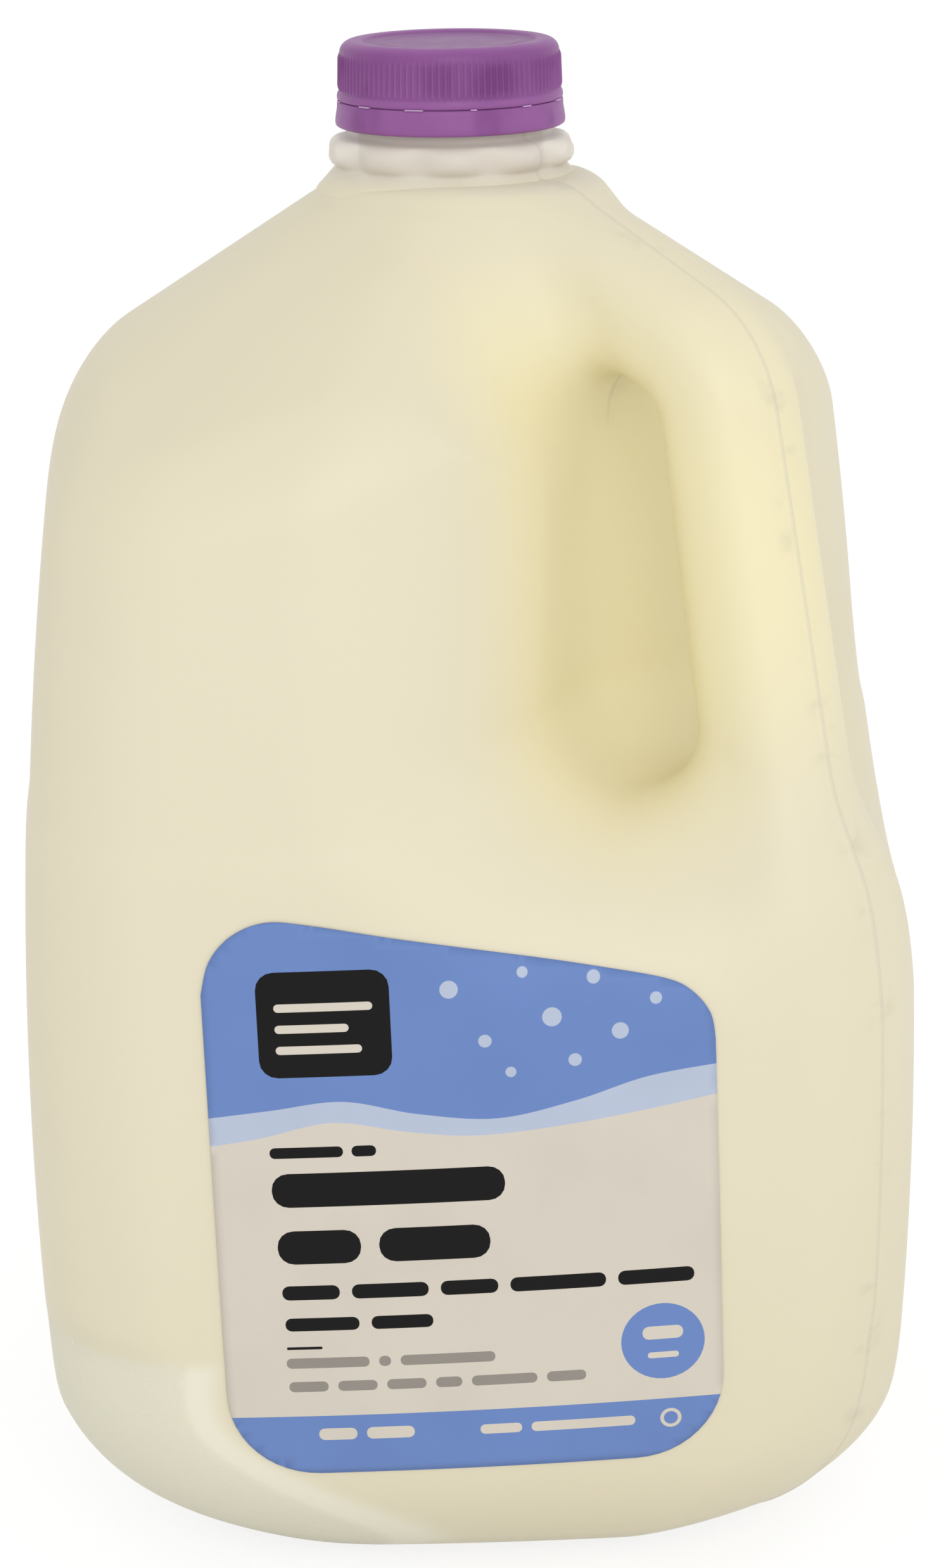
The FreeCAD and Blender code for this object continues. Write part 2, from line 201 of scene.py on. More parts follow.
class JUG_PG_colours(bpy.types.PropertyGroup):
    """Colours of the pieces."""

    plastic: colour("Plastic", shade(238, 230, 203), "Bottle where milk stands behind it")
    bare_plastic: colour("Bare plastic", shade(245, 237, 225), "Bottle above the milk")
    milk: colour("Milk", shade(243, 234, 199), "Milk")
    closure: colour("Closure", shade(148, 90, 154), "Cap and tamper band")
    # closure_dark carries the painted shade of the grooves and of the thread behind the skirt, and the darker
    # top and cloudy tone
    closure_dark: colour("Closure, dark", shade(118, 60, 124), "Cap in its grooves and behind the thread")
    paper: colour("Label", shade(214, 206, 192), "Label ground")
    blue: colour("Blue print", shade(108, 136, 194), "Label bands and field")
    pale_blue: colour("Pale print", shade(184, 194, 214), "Label ripple and dots")
    black: colour("Black print", shade(14, 11, 11), "Label block and heavy lines")
    grey: colour("Grey print", shade(148, 142, 134), "Label fine lines")
    floor: colour("Floor", shade(244, 244, 244), "Floor")


class JUG_PG_stage(bpy.types.PropertyGroup):
    """Camera and lights."""

    distance: length("Distance", 0.65045, "Axis to the camera, level")
    height: length("Height", 0.3198, "Camera above the floor")
    turn: angle("Turn", -1.23, "Camera round the jug")
    aim: angle("Aim", -0.198, "Camera aimed past the axis")
    pitch: angle("Pitch", 16.722, "Camera below level")
    roll: angle("Roll", -0.896, "Camera about its own axis")
    focal: number("Focal length", 6046.9 / LONG_SIDE, "In image heights")
    centre_x: number("Centre across", 748.2 / LONG_SIDE, "In image heights")
    centre_y: number("Centre down", 1222.9 / LONG_SIDE, "In image heights")
    world: power("World", 0.86, "Strength of the surroundings")
    front: power("Front light", 7.0, "Power of the front light")
    side: power("Side light", 1.5, "Power of the side light")


# ---------------------------------------------------------------- skin field

def rounded_and(first, second, radius):
    """Intersection of two distance fields with a round of this radius."""
    a = first + radius
    b = second + radius
    return np.hypot(np.maximum(a, 0.0), np.maximum(b, 0.0)) - radius + np.minimum(np.maximum(a, b), 0.0)


def rounded_or(first, second, radius):
    return -rounded_and(-first, -second, radius)


def body_field(x, y, z, body):
    """Bulged square prism, shoulder cone, rounded foot, drawn-in corners."""
    half = body.half_width - (z - body.fullest_height) ** 2 / (2.0 * body.side_bulge)
    half = half - body.shelf * (0.5 + 0.5 * np.tanh((z - body.shelf_height) / SHELF_SPREAD))
    bulge = body.face_bulge
    side_x = np.hypot(np.abs(x) + bulge - half, y) - bulge
    side_y = np.hypot(np.abs(y) + bulge - half, x) - bulge
    field = rounded_and(side_x, side_y, body.corner_radius)
    out = np.hypot(x, y) - body.collar_foot
    cone = out * math.sin(body.shoulder_slope) + (z - body.shoulder_height) * math.cos(body.shoulder_slope)
    field = rounded_and(field, cone, body.shoulder_round)
    field = np.maximum(field, z - body.shoulder_height - 0.001)
    field = rounded_and(field, -z - body.foot_trim, body.base_round)
    below = np.maximum(body.cut_height - z, 0.0)
    drop = below / body.cut_height
    ease = body.ledge * np.clip(1.0 - below / body.ledge_height, 0.0, 1.0) ** 2
    pillow = np.hypot(body.facet_bulge, (x - y) * ROOT_HALF) - body.facet_bulge
    facet = np.abs(x + y) * ROOT_HALF - body.facet_start - ease + body.facet_depth * drop ** 3 + pillow
    taper = np.abs(x - y) * ROOT_HALF - body.taper_start - ease + body.taper_depth * drop ** 2
    cut = rounded_and(rounded_and(field, facet, body.facet_round), taper, body.taper_round)
    return np.where(z < body.cut_height, cut, field)


def recess_field(u, w, z, grip):
    """Space cut out of the handle corner, open to both sides and upwards."""
    lean = math.tan(grip.recess_draft)
    spread = np.hypot(w, grip.ridge_round) - grip.ridge_round
    behind = (grip.recess_inner + lean * spread - u) * math.cos(grip.recess_draft)
    floor = grip.recess_floor + grip.floor_slope * (grip.recess_inner + HINGE_OUT - u) - z
    return rounded_and(behind, floor, grip.recess_round)


def grip_axis(grip, collar_foot):
    """Handle axis in the mould plane: neck, round upper bend, foot."""
    top = np.array([grip.top_out, grip.top_height])
    run = grip.top_out - 0.4 * collar_foot
    neck_end = top + np.array([-run, run * math.tan(grip.rise)])
    foot = np.array([grip.foot_out, grip.foot_height])
    to_neck = (neck_end - top) / np.linalg.norm(neck_end - top)
    to_foot = (foot - top) / np.linalg.norm(foot - top)
    turn = math.acos(float(to_neck @ to_foot))
    tangent = grip.bend_radius / math.tan(turn / 2.0)
    start = top + to_neck * tangent
    end = top + to_foot * tangent
    inward = (start + end) / 2.0 - top
    centre = top + inward / np.linalg.norm(inward) * grip.bend_radius / math.sin(turn / 2.0)
    return neck_end, start, centre, end, foot


def distance_to_run(u, z, first, last):
    run = last - first
    share = np.clip(((u - first[0]) * run[0] + (z - first[1]) * run[1]) / (run @ run), 0.0, 1.0)
    return np.hypot(u - first[0] - share * run[0], z - first[1] - share * run[1])


def grip_field(u, w, z, grip, axis):
    """Rounded oblong tube round the handle axis."""
    neck_end, start, centre, end, foot = axis
    nearest = np.minimum(distance_to_run(u, z, neck_end, start), distance_to_run(u, z, end, foot))
    turned = np.arctan2(z - centre[1], u - centre[0])
    first = math.atan2(end[1] - centre[1], end[0] - centre[0])
    last = math.atan2(start[1] - centre[1], start[0] - centre[0])
    bend = np.abs(np.hypot(u - centre[0], z - centre[1]) - grip.bend_radius)
    nearest = np.where((turned >= first) & (turned <= last), np.minimum(nearest, bend), nearest)
    share = np.clip((grip.top_height - z) / (grip.top_height - grip.foot_height), 0.0, 1.0)
    depth = grip.half_depth + (grip.foot_depth - grip.half_depth) * share
    size = ((np.abs(w) / grip.half_width) ** 2.5 + (nearest / depth) ** 2.5) ** 0.4
    return (size - 1.0) * depth


def narrowed(low, high, steps, inside_at):
    """Halves the span from low, inside, to high, outside."""
    for _ in range(steps):
        middle = (low + high) / 2.0
        ahead = inside_at(middle)
        low = np.where(ahead, middle, low)
        high = np.where(ahead, high, middle)
    return low, high


class Skin:
    """The blown skin as a field, and grids of points on it."""

    def __init__(self, body, grip):
        self.body = body
        self.grip = grip
        self.axis = grip_axis(grip, body.collar_foot)

    def field(self, u, w, z):
        x = (u + w) * ROOT_HALF
        y = (w - u) * ROOT_HALF
        body = body_field(x, y, z, self.body)
        carved = rounded_and(body, -recess_field(u, w, z, self.grip), self.grip.edge_round)
        joined = rounded_or(carved, grip_field(u, w, z, self.grip, self.axis), self.grip.blend)
        return rounded_and(joined, z - self.body.shoulder_height - RIDGE_END, RIDGE_END_ROUND)

    def normals(self, u, w, z):
        step = 0.00008
        slope = np.stack([
            self.field(u + step, w, z) - self.field(u - step, w, z),
            self.field(u, w + step, z) - self.field(u, w - step, z),
            self.field(u, w, z + step) - self.field(u, w, z - step),
        ])
        return slope / np.maximum(np.linalg.norm(slope, axis=0), 1e-12)

    def page_point(self, page, core, ray, reach):
        """Point at this reach along a ray of a page hinged on the opening."""
        w = reach * np.sin(ray)
        distance = core + reach * np.cos(ray)
        fold = math.tan(self.grip.recess_draft) * (np.hypot(w, PAGE_ROUND) - PAGE_ROUND)
        u = self.grip.recess_inner + HINGE_OUT + distance * np.cos(page) + fold
        z = self.grip.recess_floor + HINGE_HEIGHT + distance * np.sin(page)
        return u, w, z

    def grid(self, pages, rays):
        """Rings of points, one for each page, closed both ways."""
        page = 2.0 * math.pi * np.arange(pages) / pages
        along = np.arange(0.0, 0.30, 0.0005)
        wide, deep = np.meshgrid(page, along, indexing="ij")
        inside = self.field(*self.page_point(wide, deep, 0.0, 0.0)) < 0.0
        core = np.empty(pages)
        for row in range(pages):
            first = int(inside[row].argmax())
            run = int((~inside[row, first:]).argmax())
            core[row] = along[first] + run * 0.00025
        wide, ray = np.meshgrid(page, rays, indexing="ij")
        middle = core[:, None] + 0.0 * wide
        low = np.zeros_like(wide)
        high = np.full_like(wide, 0.004)

        def inside_at(reach):
            return self.field(*self.page_point(wide, middle, ray, reach)) < 0.0

        for _ in range(50):
            ahead = inside_at(high)
            if not ahead.any():
                break
            low = np.where(ahead, high, low)
            high = np.where(ahead, high + 0.004, high)
        low, high = narrowed(low, high, 15, inside_at)
        return self.page_point(wide, middle, ray, (low + high) / 2.0)

    def front(self, x, z):
        """Distance of the front skin from the axis plane, at x and z."""
        low = np.zeros_like(x)
        high = np.full_like(x, self.body.half_width + 0.005)

        def inside_at(middle):
            return self.field((x + middle) * ROOT_HALF, (x - middle) * ROOT_HALF, z) < 0.0

        return narrowed(low, high, 24, inside_at)[0]


def seam_shows(u, z):
    """1 where the mould seam shows, 0 inside the handle opening."""
    outer = OPENING_TOP[0] + (OPENING_TOP[1] - z) * OPENING_LEAN
    inner = (u > OPENING_INNER) & (u < outer) & (z > OPENING_FOOT)
    return np.where(inner, np.clip((z - SEAM_FADE[0]) / 0.008, 0.0, 1.0), 1.0)


def push_up(u, w, body):
    """Height of the hollow in the middle of the foot."""
    return body.push_up * np.clip(1.0 - (np.hypot(u, w) / PUSH_UP_RADIUS) ** 2, 0.0, 1.0) ** 2


def divided(polygon, step=2.0):
    """The polygon with its long edges divided."""
    points = []
    for (x0, y0), (x1, y1) in zip(polygon, polygon[1:] + polygon[:1]):
        parts = max(1, int(math.hypot(x1 - x0, y1 - y0) / step + 0.999))
        points.extend((x0 + (x1 - x0) * k / parts, y0 + (y1 - y0) * k / parts) for k in range(parts))
    return points


def ray_list(count, close):
    """Ray angles, closer together near the mould plane when asked."""
    even = [2.0 * math.pi * i / count - math.pi for i in range(count)]
    if not close:
        return np.array(even)
    spacing = 2.0 * math.pi / count
    extra = []
    for centre in (-math.pi, 0.0):
        for share in (0.10, 0.2, 0.32, 0.48, 0.7):
            extra.append(centre + share * spacing)
            extra.append(centre - share * spacing + (2.0 * math.pi if centre < 0.0 else 0.0))
    return np.array(sorted(even + extra))


# ---------------------------------------------------------------- mesh tools

def mesh_object(name, points, faces, smooth=True):
    mesh = bpy.data.meshes.new(name)
    mesh.from_pydata([tuple(point) for point in points], [], faces)
    mesh.validate()
    mesh.update()
    piece = bpy.data.objects.new(name, mesh)
    bpy.context.scene.collection.objects.link(piece)
    if smooth:
        mesh.shade_smooth()
    return piece


def closed_grid_faces(rows, columns):
    """Quads of a grid that closes both ways, facing outwards."""
    faces = []
    for i in range(rows):
        ahead = (i + 1) % rows
        for j in range(columns):
            side = (j + 1) % columns
            faces.append((i * columns + j, i * columns + side, ahead * columns + side, ahead * columns + j))
    return faces


def turned_piece(name, profile, steps, shape=None, first=False):
    """Ring of sections round Z from (radius, height) points.

    shape(turn, index) gives what is added to the radius. A profile that
    starts or ends on the axis is closed there by one point.
    """
    turns = np.arange(steps) * 2.0 * math.pi / steps
    points = []
    rings = []
    for index, (radius, height) in enumerate(profile):
        if radius < 1e-6:
            rings.append([len(points)])
            points.append((0.0, 0.0, height))
            continue
        reach = radius + (shape(turns, index) if shape else 0.0 * turns)
        rings.append(list(range(len(points), len(points) + steps)))
        points.extend(zip(reach * np.sin(turns), -reach * np.cos(turns), np.full(steps, height)))
    pairs = list(zip(rings, rings[1:]))
    if first:
        pairs.append((rings[-1], rings[0]))
    faces = []
    for low, high in pairs:
        for i in range(steps):
            j = (i + 1) % steps
            if len(low) == 1:
                faces.append((low[0], high[j], high[i]))
            elif len(high) == 1:
                faces.append((low[i], low[j], high[0]))
            else:
                faces.append((low[i], low[j], high[j], high[i]))
    return mesh_object(name, points, faces)


@contextmanager
def edited(piece):
    shape = bmesh.new()
    shape.from_mesh(piece.data)
    yield shape
    shape.to_mesh(piece.data)
    shape.free()


def outward(piece):
    """Makes the faces of a piece point outwards."""
    with edited(piece) as shape:
        bmesh.ops.recalc_face_normals(shape, faces=shape.faces)


def finish_piece(piece, slot, *nodes):
    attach(piece, "root")
    if nodes:
        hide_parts(*nodes)


# ---------------------------------------------------------------- materials

class Term:
    """A socket that ordinary arithmetic turns into Math nodes."""

    def __init__(self, finish, socket):
        self.finish = finish
        self.socket = socket

    def math(self, operation, *values):
        sockets = dict(enumerate(values))
        return self.finish.node("ShaderNodeMath", {"operation": operation}, sockets)

    def __abs__(self):
        return self.math("ABSOLUTE", self)

    def root(self):
        return self.math("SQRT", self)


def arithmetic(operation, swapped):
    if swapped:
        return lambda self, other: self.math(operation, other, self)
    return lambda self, other: self.math(operation, self, other)


for sign, operation in (("add", "ADD"), ("sub", "SUBTRACT"), ("mul", "MULTIPLY"), ("truediv", "DIVIDE"),
                        ("pow", "POWER")):
    setattr(Term, "__" + sign + "__", arithmetic(operation, False))
    setattr(Term, "__r" + sign + "__", arithmetic(operation, True))


class Finish:
    """One material: a Principled surface and the nodes that feed it."""

    def __init__(self, name, colour, roughness, **settings):
        self.material = bpy.data.materials.new(name)
        self.material.use_nodes = True
        self.material.diffuse_color = (*colour, 1.0)
        self.tree = self.material.node_tree
        self.surface = self.tree.nodes["Principled BSDF"]
        self.surface.inputs["Base Color"].default_value = (*colour, 1.0)
        self.surface.inputs["Roughness"].default_value = roughness
        for key, value in settings.items():
            self.surface.inputs[key.replace("_", " ").title().replace("Ior", "IOR")].default_value = value
        place = self.tree.nodes.new("ShaderNodeTexCoord")
        self.place = Term(self, place.outputs["Object"])
        parts = self.tree.nodes.new("ShaderNodeSeparateXYZ")
        self.tree.links.new(place.outputs["Object"], parts.inputs[0])
        self.x, self.y, self.z = (Term(self, parts.outputs[i]) for i in range(3))

    def node(self, kind, settings=None, sockets=None, output=0):
        """Adds a node, sets it up, then fills or links its sockets."""
        node = self.tree.nodes.new(kind)
        for key, value in (settings or {}).items():
            setattr(node, key, value)
        for key, value in (sockets or {}).items():
            self.feed(node.inputs[key], value)
        return Term(self, node.outputs[output])

    def feed(self, socket, value):
        if isinstance(value, Term):
            self.tree.links.new(value.socket, socket)
        elif isinstance(value, tuple) and len(value) == 3 and socket.type == "RGBA":
            socket.default_value = (*value, 1.0)
        else:
            socket.default_value = value

    def blend(self, factor, first, second):
        """Mix of two colours."""
        settings = {"data_type": "RGBA", "clamp_factor": True}
        return self.node("ShaderNodeMix", settings, {0: factor, 6: first, 7: second}, 2)

    def noise(self, scale, detail=2.0, stretch=None):
        place = self.place
        if stretch:
            place = self.node("ShaderNodeVectorMath", {"operation": "MULTIPLY"}, {0: place, 1: stretch})
        sockets = {"Vector": place, "Scale": scale, "Detail": detail, "Roughness": 0.5}
        return self.node("ShaderNodeTexNoise", {}, sockets)

    def ramp(self, value, low, high, start=0.0, end=1.0):
        """Smooth step of a value from low to high."""
        settings = {"interpolation_type": "SMOOTHSTEP", "clamp": True}
        sockets = {"Value": value, "From Min": low, "From Max": high, "To Min": start, "To Max": end}
        return self.node("ShaderNodeMapRange", settings, sockets)

    def colour(self, value):
        self.feed(self.surface.inputs["Base Color"], value)

    def roughness(self, value):
        self.feed(self.surface.inputs["Roughness"], value)

    def bump(self, height, strength, distance):
        sockets = {"Height": height, "Strength": strength, "Distance": distance}
        self.feed(self.surface.inputs["Normal"], self.node("ShaderNodeBump", {}, sockets))

    def see_through(self, factor):
        """Lets what is behind show by this much."""
        clear = self.node("ShaderNodeBsdfTransparent")
        surface = Term(self, self.surface.outputs[0])
        mixed = self.node("ShaderNodeMixShader", {}, {0: factor, 1: surface, 2: clear})
        self.tree.links.new(mixed.socket, self.tree.nodes["Material Output"].inputs["Surface"])


def bottle_finish(colours, level, body):
    """Milky polyethylene: painted bounce light in the handle recess, seam with smudges, speckled facets with
    a painted highlight along their ridge.
    """
    plastic = tuple(colours.plastic)
    bare = tuple(colours.bare_plastic)
    finish = Finish("bottle_polyethylene", plastic, 0.42, specular_ior_level=0.38)
    across = abs((finish.x + finish.y) * ROOT_HALF)
    cloud = finish.noise(9.0, 3.0)
    fine = finish.noise(420.0, 2.0)
    cloudy = finish.blend(finish.ramp(cloud, 0.35, 0.7, 0.0, 0.35), plastic, shade(232, 222, 188))
    above = finish.ramp(finish.z, level + 0.0025, level + 0.0070)
    base = finish.blend(above, cloudy, bare)
    out = (finish.x - finish.y) * ROOT_HALF
    # painted bounce light: the handle recess is painted brighter and yellower, as if its walls lit each other
    reach = ((out - RECESS_MIDDLE[0]) ** 2.0 + (finish.z - RECESS_MIDDLE[1]) ** 2.0).root()
    hollow = finish.ramp(reach, 0.024, 0.060, 0.8, 0.0) * finish.ramp(across, 0.020, 0.044, 1.0, 0.0)
    base = finish.blend(hollow, base, shade(253, 243, 196))
    beside_grip = finish.ramp(out + finish.z * OPENING_LEAN, 0.0954, 0.0974, 1.0, 0.0)
    wall = finish.ramp(out, 0.018, 0.022) * beside_grip
    wall = wall * finish.ramp(finish.z, 0.124, 0.132) * finish.ramp(finish.z, *SEAM_FADE, 1.0, 0.0)
    seam = finish.ramp(across, 0.00018, 0.0007, 1.0, 0.0) * (1.0 - wall)
    base = finish.blend(seam * 0.24, base, shade(190, 192, 186))
    beside = finish.ramp(across, 0.0008, 0.0052, 1.0, 0.0) * (1.0 - wall)
    patches = finish.ramp(finish.noise(95.0, 3.0, (1.0, 1.0, 1.6)), 0.52, 0.70)
    base = finish.blend(beside * patches * 0.20, base, shade(176, 172, 158))
    below = finish.z.math("MAXIMUM", body.cut_height - finish.z, 0.0)
    drop = below / body.cut_height
    bulge = (out * out + body.facet_bulge ** 2).root() - body.facet_bulge
    beyond = across - body.facet_start + body.facet_depth * drop ** 3.0 + bulge
    low = finish.ramp(finish.z, 0.044, 0.0475, 1.0, 0.0)
    facet = low * finish.ramp(beyond, -0.0007, -0.0003)
    # painted highlight: a thin bright line along the ridge where the drawn-in facet meets the side
    ridge_highlight = low * finish.ramp(beyond, -0.0021, -0.0011) * (1.0 - finish.ramp(beyond, -0.0007, -0.0003))
    specks = finish.ramp(finish.noise(900.0, 2.0), 0.50, 0.66)
    base = finish.blend(facet * (0.55 + specks * 0.25), base, shade(236, 235, 218))
    base = finish.blend(ridge_highlight * 0.65, base, shade(250, 247, 230))
    finish.colour(base)
    finish.roughness(0.36 + cloud * 0.12 + facet * 0.12)
    finish.bump(fine * 0.25 + finish.noise(60.0, 3.0) + facet * specks * 0.5, 0.22, 0.00035)
    finish.see_through(0.12 + above * 0.22)
    return finish.material


def milk_finish(colours):
    finish = Finish("milk", tuple(colours.milk), 0.35, specular_ior_level=0.3)
    cream = finish.ramp(finish.noise(14.0, 2.0), 0.3, 0.7, 0.0, 0.3)
    finish.colour(finish.blend(cream, tuple(colours.milk), shade(240, 230, 196)))
    return finish.material


def closure_finish(name, colours, inner, outer, thread):
    """Thin dyed polyethylene, with painted shade in the grooves and where the thread lies behind the skirt.
    """
    light = tuple(colours.closure)
    dark = tuple(colours.closure_dark)
    finish = Finish(name, light, 0.38, specular_ior_level=0.28, subsurface_weight=0.12,
                    subsurface_radius=(0.0012, 0.0006, 0.0012), subsurface_scale=1.0)
    out = (finish.x * finish.x + finish.y * finish.y).root()
    # painted shade: darker towards the bottom of the grooves between the ribs
    groove_shade = finish.ramp(out, inner, outer, 1.0, 0.0)
    # painted shade: darker patches at the thread's height, where the neck thread behind the thin skirt shades
    # it
    behind = 1.0 - finish.ramp(abs(finish.z - thread), 0.0012, 0.0042)
    patches = finish.ramp(finish.noise(130.0, 2.0, (1.0, 1.0, 0.45)), 0.42, 0.66)
    skirt = finish.ramp(out, inner - 0.0012, inner)
    # deep is the painted shade of the grooves and of the thread behind the skirt
    deep = skirt * (groove_shade * 0.40 + behind * patches * 0.55)
    on_top = (1.0 - finish.ramp(out, 0.0140, 0.0150)) * 0.55
    cloud = finish.ramp(finish.noise(60.0, 2.0), 0.3, 0.75, 0.0, 0.22)
    finish.colour(finish.blend(deep + on_top + cloud, light, dark))
    finish.roughness(0.34 + finish.noise(300.0, 2.0) * 0.12)
    finish.bump(finish.noise(700.0, 2.0), 0.12, 0.0001)
    return finish.material


def print_finish(name, tint, roughness=0.42):
    """Printed film, faintly uneven, with the soft waves of the bottle."""
    finish = Finish(name, tint, roughness, specular_ior_level=0.18)
    darker = tuple(0.90 * part for part in tint)
    finish.colour(finish.blend(finish.ramp(finish.noise(55.0, 3.0), 0.35, 0.75, 0.0, 0.45), tint, darker))
    finish.roughness(roughness - 0.05 + finish.noise(160.0, 2.0) * 0.12)
    finish.bump(finish.noise(38.0, 2.0), 0.10, 0.0006)
    return finish.material


# ---------------------------------------------------------------- label print

def arcs(corners, radius, steps):
    """Quarter circles about each (x, y) from its angle on."""
    points = []
    for x, y, start in corners:
        for step in range(steps + 1):
            turn = math.radians(start + 90.0 / steps * step)
            points.append((x + radius * math.cos(turn), y + radius * math.sin(turn)))
    return points


def oblong(left, low, right, high, radius):
    """Rounded rectangle as a list of points."""
    radius = min(radius, (right - left) / 2.0 - 0.01, (high - low) / 2.0 - 0.01)
    corners = [(right - radius, high - radius, 0), (left + radius, high - radius, 90),
               (left + radius, low + radius, 180), (right - radius, low + radius, 270)]
    return arcs(corners, radius, 4)


def disc(x, y, radius, steps):
    turns = [2 * math.pi * i / steps for i in range(steps)]
    return [(x + radius * math.cos(turn), y + radius * math.sin(turn)) for turn in turns]


def curve_through(places, steps=8):
    """Smooth open curve through the places."""
    points = []
    for i in range(len(places) - 1):
        before = places[max(i - 1, 0)]
        first = places[i]
        last = places[i + 1]
        after = places[min(i + 2, len(places) - 1)]
        for k in range(steps):
            t = k / steps
            point = []
            for a, b, c, d in zip(before, first, last, after):
                bend = 2 * a - 5 * b + 4 * c - d + t * (3 * (b - c) + d - a)
                point.append(b + 0.5 * t * (c - a + t * bend))
            points.append(tuple(point))
    points.append(places[-1])
    return points


def label_outline():
    """Round lower corners, wavy top edge that falls to the right."""
    corner = 15.0
    points = arcs(((corner, corner, 180), (LABEL_DRAWN - corner, corner, 270)), corner, 12)
    top = [(LABEL_DRAWN, 75.0), (82.3, 79.4), (79.4, 83.2), (75.0, 85.5), (64.0, 88.1), (48.0, 91.4),
           (30.0, 95.2), (18.0, 97.6), (11.0, 98.3), (5.4, 96.2), (1.6, 92.0), (0.0, 86.5)]
    return points + curve_through(top, 5)


def words(left, low, right, high, sizes, gap, tint):
    """A line of plain round-ended bars."""
    total = sum(sizes)
    room = right - left - gap * (len(sizes) - 1)
    bars = []
    for size in sizes:
        width = room * size / total
        bars.append((tint, oblong(left, low, left + width, high, (high - low) / 2.2)))
        left += width + gap
    return bars


def label_regions():
    """Printed regions from the lowest to the topmost, in drawn units."""
    wave = curve_through([
        (-3, 60), (8, 61.6), (20, 64), (32, 62), (43, 60.8), (56, 61.6), (70, 63.4), (86, 66),
    ])
    ripple = curve_through([
        (-3, 65.0), (10, 66.4), (22, 67.6), (34, 65.0), (47, 63.6), (60, 66.0), (72, 69.4), (86, 71.0),
    ])
    regions = [
        ("blue", wave + [(86, 104), (-3, 104)]),
        ("pale_blue", wave + ripple[::-1]),
        ("blue", [(-3, -3), (86, -3), (86, 11), (-3, 11)]),
        ("black", oblong(8.8, 72.0, 30.4, 90.0, 3.0)),
        ("paper", oblong(11.6, 83.2, 27.6, 84.6, 0.7)),
        ("paper", oblong(11.6, 79.6, 23.6, 81.0, 0.7)),
        ("paper", oblong(11.6, 76.0, 25.6, 77.4, 0.7)),
    ]
    for x, y, radius in ((40, 86, 1.5), (45.5, 77, 1.1), (52, 88, 0.9), (56.5, 80.5, 1.6), (63.5, 86.5, 1.1),
                         (67.5, 77.5, 1.4), (73.5, 82.5, 1.0), (49.5, 71.5, 0.9), (60, 73.0, 1.1)):
        regions.append(("pale_blue", disc(x, y, radius, 20)))
    for line in (
        (9.6, 58.0, 27.0, 59.9, (6, 2), 1.4, "black"),
        (9.6, 49.3, 47.8, 55.3, (1,), 0.0, "black"),
        (10.0, 39.1, 45.0, 45.1, (3, 4), 3.0, "black"),
        (10.3, 32.6, 78.5, 35.2, (3, 4, 3, 5, 4), 2.0, "black"),
        (10.5, 26.9, 35.0, 29.3, (6, 5), 2.0, "black"),
        ("black", oblong(10.5, 23.5, 16.4, 24.0, 0.2)),
        (10.3, 20.0, 45.0, 21.9, (7, 1, 8), 1.6, "grey"),
        (10.5, 15.6, 60.0, 17.5, (3, 3, 3, 2, 5, 3), 1.6, "grey"),
        ("blue", disc(73.0, 21.8, 7.0, 40)),
        ("paper", oblong(69.6, 22.2, 76.4, 24.6, 1.1)),
        ("paper", oblong(70.4, 18.7, 75.6, 19.8, 0.5)),
        (15.0, 6.4, 31.0, 8.6, (4, 5), 1.6, "paper"),
        (42.0, 6.4, 68.0, 8.2, (2, 5), 1.6, "paper"),
        ("paper", disc(74.0, 7.3, 1.8, 24)),
        ("blue", disc(74.0, 7.3, 1.2, 20)),
    ):
        regions += [line] if len(line) == 2 else words(*line)
    return regions


def inside_polygon(points, polygon):
    """Which points lie in the polygon."""
    x, y = points[:, 0], points[:, 1]
    inside = np.zeros(len(points), bool)
    for (x0, y0), (x1, y1) in zip(polygon, polygon[1:] + polygon[:1]):
        if y0 == y1:
            continue
        crosses = (y0 > y) != (y1 > y)
        inside ^= crosses & (x < (x1 - x0) * (y - y0) / (y1 - y0) + x0)
    return inside


# ---------------------------------------------------------------- operators

